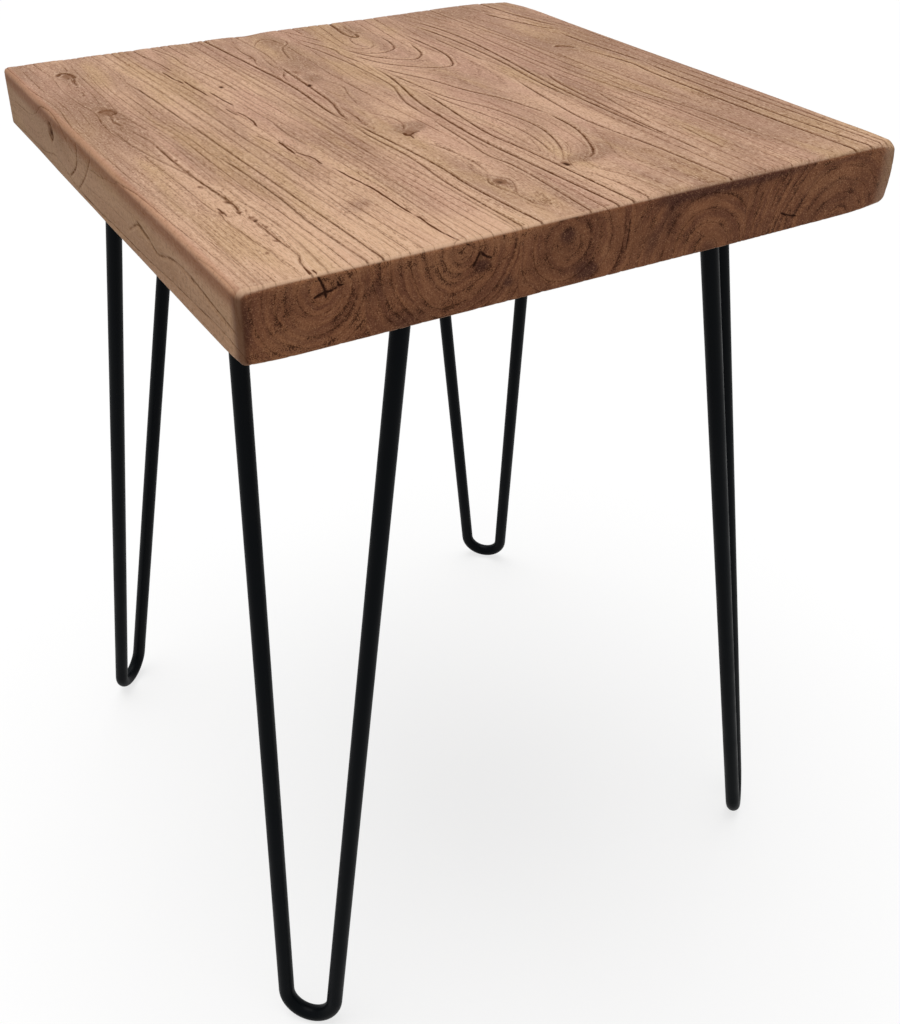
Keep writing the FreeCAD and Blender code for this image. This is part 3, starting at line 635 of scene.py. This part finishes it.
def carve(block, stave):
    """Eases the edges, presses lines, splits and knots in, and keeps their fields for the finish."""
    mesh = block.data
    spots = np.empty(len(mesh.vertices) * 3)
    mesh.vertices.foreach_get("co", spots)
    spots, normals = ease_edges(spots.reshape(-1, 3) / MM)
    in_tree = spots * (1, 1, -1) + (0, 0, TOP)
    rings, right_share = ring_count(stave, in_tree)
    spread = spread_of(stave, in_tree, normals * (1, 1, -1))
    gap, mark, bite = line_fields(stave, in_tree, rings, right_share)
    shaken = in_tree + 0.35 * ripple(5, (4, 5, 4), in_tree)[:, None] * (1, 0, 0)
    split, _ = nearest_line(all_splits, shaken)
    knot = knot_mask(in_tree)
    end = np.abs(normals[:, 1]) ** 2
    groove = hump((rings - np.round(rings)) * spread, GROOVE_EDGE) * bite * (1 - 0.85 * end)
    groove = np.maximum(groove, hump(np.maximum(gap, 0), GROOVE_EDGE) * mark)
    sink = LINE_DEPTH * groove + SPLIT_DEPTH / (1 + np.exp(6 * split)) + KNOT_DEPTH * knot
    sink += WEAR_DEPTH + WEAR_DEPTH * ripple(83, (24, 60, 24), in_tree)
    sink += BRUSH_DEPTH * ripple(89, (3, 14, 3), in_tree)
    spots -= normals * np.maximum(sink, 0)[:, None]
    mesh.vertices.foreach_set("co", (spots * MM).ravel())
    fields = dict(
        rings=rings, spread=spread, bite=bite, gap=gap, mark=mark, split=split, knot=knot, end_grain=end,
        stain=stain_mask(in_tree),
    )
    for label, values in fields.items():
        mesh.attributes.new(label, "FLOAT", "POINT").data.foreach_set("value", values.astype(np.float32))
    mesh.shade_smooth()
    mesh.update()
    return sink.max()


for name, block in blocks.items():
    deepest = carve(block, STAVES[name])
    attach(block, "root")
    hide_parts("stave_" + name)
    print(block.name, "is carved", round(deepest, 2), "mm deep")

# %% [markdown]
# ## Weld beads
#
# Where a rod meets its plate, the welder lays a ring of small drops, each half over the last. A plain
# cone would look cast, so one drop is flattened, tilted and spun round the rod, the ring is fused to one
# skin, and that skin is copied to the eight rod ends, each copy turned so that no two look alike.

# %% One ring of drops
drop_count = 18
drop_radius = 2.1 * MM
ring_radius = 6.2 * MM
drop_middle = (ring_radius, 0, 0)
drop_flatness = (1.0, 0.62, 1.0)
drop_tilt = radians(25)
select_only()
bpy.ops.mesh.primitive_uv_sphere_add(segments=16, ring_count=10, radius=drop_radius, location=drop_middle)
ring = bpy.context.object
bpy.ops.object.transform_apply()
bpy.ops.object.mode_set(mode="EDIT")
bpy.ops.mesh.select_all(action="SELECT")
bpy.ops.transform.resize(value=drop_flatness, center_override=drop_middle)
bpy.ops.transform.rotate(value=drop_tilt, orient_axis="X", center_override=drop_middle)
last_angle = radians(360) * (drop_count - 1) / drop_count
bpy.ops.mesh.spin(steps=drop_count - 1, dupli=True, angle=last_angle, center=(0, 0, 0), axis=(0, 0, 1))
bpy.ops.object.mode_set(mode="OBJECT")
skin = ring.modifiers.new("one_skin", "REMESH")
skin.mode = "VOXEL"
skin.voxel_size = 0.35 * MM
skin.use_smooth_shade = True
bpy.ops.object.modifier_apply(modifier=skin.name)
print("one ring has", len(ring.data.polygons), "faces")


# %% Beads on the eight rod ends
def bead_at(x, y, z, turn):
    """A copy of the ring, put on a rod end and turned."""
    select_only(ring)
    bpy.ops.object.duplicate()
    bead = bpy.context.object
    bead.location = (x, y, z)
    bead.rotation_euler.z = turn
    bpy.ops.object.transform_apply()
    return bead


weld_radius = 8.25 * MM
weld_drop = 1.6 * MM
pair_turn = 0.5  # radians between the two beads of a leg
beads = []
for turn, corner in enumerate(("front_left", "front_right", "back_left", "back_right")):
    low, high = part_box("weld_" + corner)
    left, right = low.x + weld_radius, high.x - weld_radius
    front, back = low.y + weld_radius, high.y - weld_radius
    crossed = corner in ("front_left", "back_right")
    pair = [
        bead_at(left, back if crossed else front, high.z - weld_drop, turn),
        bead_at(right, front if crossed else back, high.z - weld_drop, turn + pair_turn),
    ]
    select_only(*pair)
    bpy.ops.object.join()
    bead = bpy.context.object
    bead.name = "beads_" + corner
    bead.data.name = bead.name
    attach(bead, "root")
    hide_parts("weld_" + corner)
    beads.append(bead)
bpy.data.objects.remove(ring)
print("beads:", ", ".join(bead.name for bead in beads))

# %% [markdown]
# ## Finishes
#
# A finish is a net of nodes that work out a colour, a roughness and a height at each spot. Short helpers
# add one node at a time to the tree in hand, so that each line below reads as one step.


# %% Node helpers
def finish(name):
    """A new material, its node tree and the inputs of its shader."""
    made = bpy.data.materials.new(name)
    made.use_nodes = True
    return made, made.node_tree, made.node_tree.nodes["Principled BSDF"].inputs


def add(kind, *inputs, out=0, **settings):
    """Adds a node, fills its inputs in order with numbers or other outputs, and gives an output."""
    made = tree.nodes.new("ShaderNode" + kind)
    for label, value in settings.items():
        setattr(made, label, value)
    for socket, value in zip([s for s in made.inputs if s.enabled], inputs):
        if isinstance(value, bpy.types.NodeSocket):
            tree.links.new(value, socket)
        elif value is not None:
            socket.default_value = value
    return [s for s in made.outputs if s.enabled][out]


def reckon(operation, *inputs):
    return add("Math", *inputs, operation=operation)


def times(product, *others):
    """The product of two or more values."""
    for other in others:
        product = reckon("MULTIPLY", product, other)
    return product


def blend(share, first, second):
    return add("Mix", share, first, second, data_type="RGBA")


def fade(value, start, stop, low=0.0, high=1.0):
    """Maps value from start..stop to low..high, held at both ends."""
    return add("MapRange", value, start, stop, low, high, interpolation_type="SMOOTHSTEP")


def noise(across, along, seed=0.0, detail=2.0, rough=0.5, upright=None):
    """Soft random values, with so many steps a millimetre across and along the grain."""
    scale = [steps / MM for steps in (across, along, upright or across)]
    spot = add("Mapping", place, (seed, seed, seed), (0, 0, 0), scale)
    return add("TexNoise", spot, 1.0, detail, rough)


def colour(red, green, blue):
    """A colour as read off the screen, 0 to 255, in the linear values that a shader takes."""
    shares = [part / 255 for part in (red, green, blue)]
    linear = [s / 12.92 if s < 0.04045 else ((s + 0.055) / 1.055) ** 2.4 for s in shares]
    return (*linear, 1.0)


def layered(ground, **layers):
    """Lays named colours over the ground in turn, each given as its share and its colour."""
    for share, *tone in layers.values():
        ground = blend(share, ground, colour(*tone))
    return ground


print("middle grey is", round(colour(128, 128, 128)[0], 3), "to a shader")

# %% [markdown]
# ## Elm
#
# The carved fields are read back by the finish, so that the colour lies exactly in the grooves. The dark
# lines come first. Noise shakes them a little, makes them thicker and thinner, and breaks them up.

# %% Elm: the dark lines
elm, tree, shader = finish("brushed_elm")
place = add("TexCoord", out=3)
carved = ("rings", "spread", "bite", "gap", "mark", "split", "knot", "end_grain", "stain")
true_rings, spread, bite, gap, mark, split, knot, end_grain, stain = (
    add("Attribute", out=2, attribute_name=label) for label in carved
)

shake = reckon("SUBTRACT", noise(0.9, 0.12), 0.5)
thick = fade(noise(0.22, 0.03, 13.0), 0.3, 0.7, 0.6, 1.3)
broken = fade(noise(0.7, 0.07, 5.0, 3.0, 0.6), 0.3, 0.55, 0.5, 1.0)
rings = reckon("MULTIPLY_ADD", shake, 0.14, true_rings)
off_line = times(reckon("ABSOLUTE", reckon("SUBTRACT", rings, reckon("ROUND", rings))), spread)
ring_line = times(fade(reckon("DIVIDE", off_line, thick), 0.05, 0.42, 1.0, 0.0), bite)
shaken_gap = reckon("MULTIPLY_ADD", shake, 0.9, gap)
drawn_line = times(fade(reckon("DIVIDE", shaken_gap, thick), -0.2, 0.34, 1.0, 0.0), mark)
stipple = noise(1.25, 0.5, 33.0, 3.0, 0.6)
beaded = times(broken, fade(stipple, 0.36, 0.58, 0.65, 1.0))
line = times(reckon("MAXIMUM", ring_line, drawn_line), beaded)
# Beside each line the wood is darker, partly the early wood of its year and partly painted shade of the
# groove.
ring_shade = times(fade(off_line, 0.2, 1.2, 1.0, 0.0), bite)
drawn_shade = times(fade(gap, 0.0, 1.2, 1.0, 0.0), mark)
shade = reckon("MAXIMUM", ring_shade, drawn_shade)
# Painted highlight: a pale rim just off each drawn line, where the edge of its groove would catch the
# light.
lip = times(fade(gap, 0.5, 1.2), fade(gap, 1.2, 2.2, 1.0, 0.0), mark)
print("lines use", len(tree.nodes), "nodes")

# %% [markdown]
# Between the lines lie long pale and dark streaks, which bend with the rings because their noise is laid
# along the ring count, and short pores, which are the cut vessels of the wood and keep to its length.

# %% Elm: streaks and pores
x, y, z = (add("SeparateXYZ", place, out=axis) for axis in range(3))
ring_place = add("CombineXYZ", times(rings, 5.0), times(y, 14.0), times(x, 20.0))
streak = add("TexNoise", ring_place, 1.0, 4.0, 0.6)
hair_place = add("CombineXYZ", times(rings, 7.0), times(y, 9.0), times(x, 60.0))
hair_noise = add("TexNoise", hair_place, 1.0, 3.0, 0.55)
hairs = times(fade(hair_noise, 0.57, 0.66), fade(stipple, 0.42, 0.6, 0.15, 1.0))
fibre = noise(1.7, 0.05, 3.0, 3.0, 0.6)
cluster = noise(0.045, 0.012, 9.0)
pore_noise = noise(2.8, 0.16, 7.0)
porous = reckon("MULTIPLY_ADD", shade, 0.06, reckon("MULTIPLY_ADD", cluster, 0.3, pore_noise))
pores = fade(porous, 0.74, 0.86)
drift = reckon("MULTIPLY_ADD", stain, 0.25, noise(0.05, 0.009, 11.0, 3.0))
hue = noise(0.05, 0.01, 17.0)
print("streaks and pores bring it to", len(tree.nodes), "nodes")

# %% Elm: the planed faces
calm = times(fade(stain, -0.7, -0.1, 0.45, 1.0), fade(x, 70 * MM, 120 * MM, 1.0, 1.25))
face = layered(
    colour(206, 167, 138),
    dark_wood=(fade(drift, 0.3, 0.75), 160, 124, 103),
    straw=(fade(hue, 0.5, 0.68, 0.0, 0.7), 186, 151, 114),
    rose=(fade(hue, 0.5, 0.32, 0.0, 0.55), 191, 149, 128),
    stain=(fade(stain, 0.35, 0.95, 0.0, 0.8), 150, 116, 93),
    bleach=(fade(stain, -0.2, -1.0, 0.0, 0.4), 224, 184, 150),
    line_shade=(times(shade, 0.3), 146, 104, 73),
    line_lip=(times(lip, 0.4), 216, 183, 154),
    dark_streak=(fade(streak, 0.5, 0.75, 0.0, 0.3), 146, 105, 75),
    pale_streak=(fade(streak, 0.46, 0.2, 0.0, 0.3), 216, 183, 155),
    dark_fibre=(fade(fibre, 0.5, 0.8, 0.0, 0.32), 132, 92, 62),
    pale_fibre=(fade(fibre, 0.48, 0.2, 0.0, 0.3), 217, 185, 157),
    dark_speck=(times(calm, fade(stipple, 0.53, 0.68, 0.0, 0.6)), 122, 83, 54),
    pale_speck=(fade(stipple, 0.46, 0.28, 0.0, 0.55), 225, 194, 167),
    hair=(times(hairs, 0.65), 108, 69, 40),
    pore=(times(pores, 0.4), 110, 71, 44),
)
print("planed faces bring it to", len(tree.nodes), "nodes")

# %% [markdown]
# The two long sides are darker than the top, partly their own duller tone and partly painted shade, darker
# still towards the back, and flecked where the saw cut across the rings. Hands have polished the edge above
# them to a rosy round, and a soft dark band of painted shade lies beneath it.

# %% Elm: the long sides
from_middle = reckon("ABSOLUTE", x)
side_share = fade(from_middle, 177.4 * MM, 179.2 * MM, 0.0, 0.5)
# Painted shade, partly the sides' own duller tone: the long sides are blended half way to a darker colour,
# darker towards the back.
side_tint = blend(fade(y, 100 * MM, -60 * MM), colour(158, 120, 82), colour(194, 149, 110))
near_side = fade(from_middle, 176.0 * MM, 177.8 * MM)
arris = times(near_side, fade(z, 489.0 * MM, 491.5 * MM, 0.0, 0.4))
# Painted shade: a soft dark band on the long sides just under the eased top edge.
band_top = fade(z, 492.2 * MM, 490.0 * MM)
band_foot = fade(z, 482.0 * MM, 488.5 * MM)
fleck = noise(0.1, 0.5, 41.0, 3.0, 0.7, upright=0.28)
face = layered(
    blend(side_share, face, side_tint),
    rosy_edge=(arris, 188, 138, 112),
    under_the_edge=(times(band_top, band_foot, near_side, 0.65), 136, 78, 44),
    dark_fleck=(times(side_share, fade(fleck, 0.52, 0.7, 0.0, 0.8)), 118, 84, 58),
    pale_fleck=(times(side_share, fade(fleck, 0.48, 0.3, 0.0, 0.7)), 190, 152, 116),
)
print("long sides bring it to", len(tree.nodes), "nodes")

# %% [markdown]
# The sawn ends show the vessels end on: dark dots, crowded at the start of each year and in clumps,
# thin elsewhere. The right stave was sawn rougher than the rest. Along the top edge the ends are pale,
# partly wear and partly painted highlight where the eased edge catches the light. At the front right
# corner the face colour reaches round onto the end, partly side grain and partly painted highlight, and
# the front left corner is darker down its upright edge.

# %% Elm: dots and bands of the sawn ends
from_line = times(reckon("FRACT", rings), spread)
clump = noise(0.16, 0.02, 21.0, 3.0, 0.6)
early = times(fade(from_line, 0.0, 2.6, 1.0, 0.0), fade(clump, 0.35, 0.65))
bend = noise(0.12, 0.02, 25.0)
band_place = add("CombineXYZ", times(reckon("ADD", rings, bend), 1.5), times(x, 25.0), times(z, 25.0))
band = add("TexNoise", band_place, 1.0, 3.0, 0.6)
grit = noise(1.6, 0.02, 31.0, 3.0, 0.7)
dots_per_metre = (1450, 20, 1450)
dot_place = add("Mapping", place, None, None, dots_per_metre)
cells = add("TexVoronoi", dot_place, 1.0, 0.0, 0.5, 2.0, 1.0)
crowd = reckon("MULTIPLY_ADD", early, 0.26, fade(clump, 0.4, 0.72, 0.1, 0.4))
dots = fade(reckon("SUBTRACT", cells, crowd), -0.02, 0.08, 1.0, 0.0)
rough_saw = fade(x, 80 * MM, 110 * MM, 1.0, 1.4)
sawn = layered(
    colour(166, 111, 78),
    dark_band=(fade(band, 0.36, 0.64), 130, 82, 60),
    drift=(fade(drift, 0.3, 0.75, 0.0, 0.5), 124, 80, 56),
    dark_streak=(fade(streak, 0.5, 0.75, 0.0, 0.25), 112, 70, 50),
    pale_streak=(fade(streak, 0.46, 0.2, 0.0, 0.25), 184, 132, 97),
    early_wood=(times(early, 0.3), 106, 64, 42),
    stain=(fade(stain, 0.1, 0.8, 0.0, 0.85), 86, 52, 44),
    bleach=(fade(stain, -0.1, -0.6, 0.0, 0.4), 184, 130, 92),
    dark_grit=(times(rough_saw, fade(grit, 0.52, 0.7, 0.0, 0.62)), 88, 52, 35),
    pale_grit=(times(rough_saw, fade(grit, 0.47, 0.28, 0.0, 0.68)), 204, 152, 114),
    ring_dot=(times(ring_line, fade(grit, 0.4, 0.56, 0.15, 0.85)), 72, 38, 22),
    vessel=(times(dots, 0.8), 62, 32, 18),
)
print("sawn ends bring it to", len(tree.nodes), "nodes")

# %% Elm: where face and end meet
# Partly side grain and partly painted highlight: at the front right corner the face colour reaches round
# onto the sawn end, where the round catches the light.
worn_corner = times(fade(x, 167.0 * MM, 175.5 * MM, 0.0, 0.8), fade(y, -160 * MM, -170 * MM))
sawn_share = reckon("MAXIMUM", reckon("SUBTRACT", fade(end_grain, 0.5, 0.85), worn_corner), 0.0)
# Partly wear and partly painted highlight: a pale band along the top edge of the sawn ends, strongest at
# the left, where the eased edge catches the light.
worn_edge = times(
    fade(end_grain, 0.02, 0.15),
    reckon("SUBTRACT", 1.0, sawn_share),
    fade(z, 480 * MM, 491 * MM, 0.1, 0.6),
    fade(x, -60 * MM, 40 * MM, 1.0, 0.2),
)
# The front left corner is darker down its upright edge, from just below the top.
dark_corner = times(
    fade(x, -175.5 * MM, -178.5 * MM),
    fade(y, -170.0 * MM, -176.5 * MM),
    fade(z, 493.2 * MM, 489.5 * MM, 0.0, 0.75),
)
wood = blend(sawn_share, layered(face, worn_lip=(worn_edge, 222, 182, 150)), sawn)
wood = layered(wood, stained=(dark_corner, 100, 62, 42))
print("edges bring it to", len(tree.nodes), "nodes")

# %% Elm: lines, knots and splits laid over both
line_share = times(line, fade(end_grain, 0.3, 0.9, 1.0, 0.15))
ragged_knot = reckon("MULTIPLY_ADD", reckon("SUBTRACT", fibre, 0.5), 0.5, knot)
wood = layered(
    wood,
    line=(line_share, 78, 40, 10),
    knot_rim=(fade(knot, 0.05, 0.45, 0.0, 0.75), 126, 88, 64),
    knot_core=(fade(ragged_knot, 0.5, 0.85, 0.0, 0.95), 56, 29, 16),
)
opened = fade(reckon("MULTIPLY_ADD", shake, 0.9, split), 0.3, -0.3)
split_tint = blend(sawn_share, colour(90, 53, 31), colour(58, 32, 22))
wood = blend(opened, wood, split_tint)

tree.links.new(wood, shader["Base Color"])
hollow = reckon("MAXIMUM", reckon("MAXIMUM", line, opened), knot)
tree.links.new(fade(reckon("ADD", hollow, pores), 0.0, 1.0, 0.58, 1.0), shader["Roughness"])
shader["Specular IOR Level"].default_value = 0.05
pits = reckon("MULTIPLY_ADD", sawn_share, reckon("SUBTRACT", dots, pores), pores)
height = reckon("MULTIPLY_ADD", pits, -0.5, times(line, -1.0))
height = reckon("MULTIPLY_ADD", reckon("ADD", fibre, streak), 0.4, height)
tree.links.new(add("Bump", 0.6, 0.4 * MM, height), shader["Normal"])
for block in blocks.values():
    block.data.materials.append(elm)
print("elm finish has", len(tree.nodes), "nodes")

# %% [markdown]
# ## Steel
#
# The rods, plates and welds wear one baked black coat, and the screws a thin black oxide that lets the
# shine of the steel through. Both finishes share one node group for their mottling: a slow cloud for the
# tone and the gloss, and a fine peel for the height. Each finish places the group with its own sizes.

# %% Mottle group
tree = mottle = bpy.data.node_groups.new("mottle", "ShaderNodeTree")
for label, size in (("Cloud Size", 20.0), ("Peel Size", 0.7)):
    socket = mottle.interface.new_socket(label, in_out="INPUT", socket_type="NodeSocketFloat")
    socket.default_value = size
for label in ("Cloud", "Peel"):
    mottle.interface.new_socket(label, in_out="OUTPUT", socket_type="NodeSocketFloat")
sizes = mottle.nodes.new("NodeGroupInput").outputs
result = mottle.nodes.new("NodeGroupOutput").inputs
place = add("TexCoord", out=3)
for label, detail in (("Cloud", 3.0), ("Peel", 2.0)):
    steps = reckon("DIVIDE", 1 / MM, sizes[label + " Size"])
    mottle.links.new(add("TexNoise", place, steps, detail, 0.5), result[label])
print("mottle group has", len(mottle.nodes), "nodes")

# %% Black coat and black oxide
STEEL = {  # cloud and peel in mm, two tones, least and most rough, peel's share and height, what is its own
    "black_coat": (20.0, 0.7, (1, 4, 7), (5, 8, 12), 0.38, 0.5, 0.12, 0.2, "Specular IOR Level", 0.06),
    "screw_steel": (3.0, 0.25, (44, 44, 47), (84, 84, 88), 0.32, 0.5, 0.15, 0.1, "Metallic", 1.0),
}
steel = {}
for name, (cloud_mm, peel_mm, dark, light, least, most, share, peel_height, own, amount) in STEEL.items():
    steel[name], tree, shader = finish(name)
    made = tree.nodes.new("ShaderNodeGroup")
    made.node_tree = mottle
    made.inputs["Cloud Size"].default_value = cloud_mm
    made.inputs["Peel Size"].default_value = peel_mm
    cloud = made.outputs["Cloud"]
    tree.links.new(blend(cloud, colour(*dark), colour(*light)), shader["Base Color"])
    tree.links.new(fade(cloud, 0.3, 0.7, least, most), shader["Roughness"])
    tree.links.new(add("Bump", share, peel_height * MM, made.outputs["Peel"]), shader["Normal"])
    shader[own].default_value = amount
    print(name, "has", len(tree.nodes), "nodes")

# %% Steel on its pieces
for name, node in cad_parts.items():
    if not name.startswith("stave"):
        node.data.materials.clear()
        node.data.materials.append(steel["screw_steel" if name.startswith("screws") else "black_coat"])
for bead in beads:
    bead.data.materials.append(steel["black_coat"])
print("steel finishes are on", len(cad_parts) - len(STAVES), "pieces")

# %% [markdown]
# ## Floor and light
#
# The photograph is a cut-out on white. A pale floor that shows itself white to the camera keeps that
# look, and takes only a soft share of the table's shadow. A large lamp above and to the left gives the
# even light on the top, and the bright room fills the sides.


# %% Floor
def seen_ray():
    """1 for a ray from the camera, or one mirrored or bent on its way, and 0 for one that only lights."""
    ray = tree.nodes.new("ShaderNodeLightPath").outputs
    bent = reckon("MAXIMUM", ray["Is Glossy Ray"], ray["Is Transmission Ray"])
    return reckon("MAXIMUM", ray["Is Camera Ray"], bent)


WHITE = (1, 1, 1, 1)
paper_lit = (0.5, 0.5, 0.5, 1)
paper_seen = (0.95, 0.95, 0.95, 1)
glow_share = 0.75
select_only()
bpy.ops.mesh.primitive_plane_add(size=40)
floor = bpy.context.object
floor.name = "floor"
paper, tree, shader = finish("white_paper")
shader["Roughness"].default_value = 0.9
shader["Specular IOR Level"].default_value = 0.0
seen = seen_ray()
tree.links.new(blend(seen, paper_lit, paper_seen), shader["Base Color"])
glow = add("Emission", WHITE, 1.0)
matt = tree.nodes["Principled BSDF"].outputs[0]
mixed = add("MixShader", times(seen, glow_share), matt, glow)
tree.links.new(mixed, tree.nodes["Material Output"].inputs["Surface"])
floor.data.materials.append(paper)
print("floor is", floor.dimensions.x, "m wide")

# %% Lamps and room
lamp_direction = Vector((0.03, -0.15, -0.98))
bpy.ops.object.light_add(type="SUN", location=(-0.6, 0.4, 1.9))
lamp = bpy.context.object
lamp.name = "overhead_lamp"
lamp.data.energy = 2.5
lamp.data.angle = radians(50)
lamp.rotation_euler = lamp_direction.to_track_quat("-Z", "Y").to_euler()

room_light = 0.3
room = bpy.data.worlds.new("room")
bpy.context.scene.world = room
room.use_nodes = True
tree = room.node_tree
tree.nodes.clear()
seen = seen_ray()
fill = add("Background", WHITE, fade(seen, 0.0, 1.0, room_light, 1.0))
output = tree.nodes.new("ShaderNodeOutputWorld")
tree.links.new(fill, output.inputs["Surface"])
bpy.context.scene.view_settings.view_transform = "Standard"
print("lamp at", [round(c, 2) for c in lamp.location])
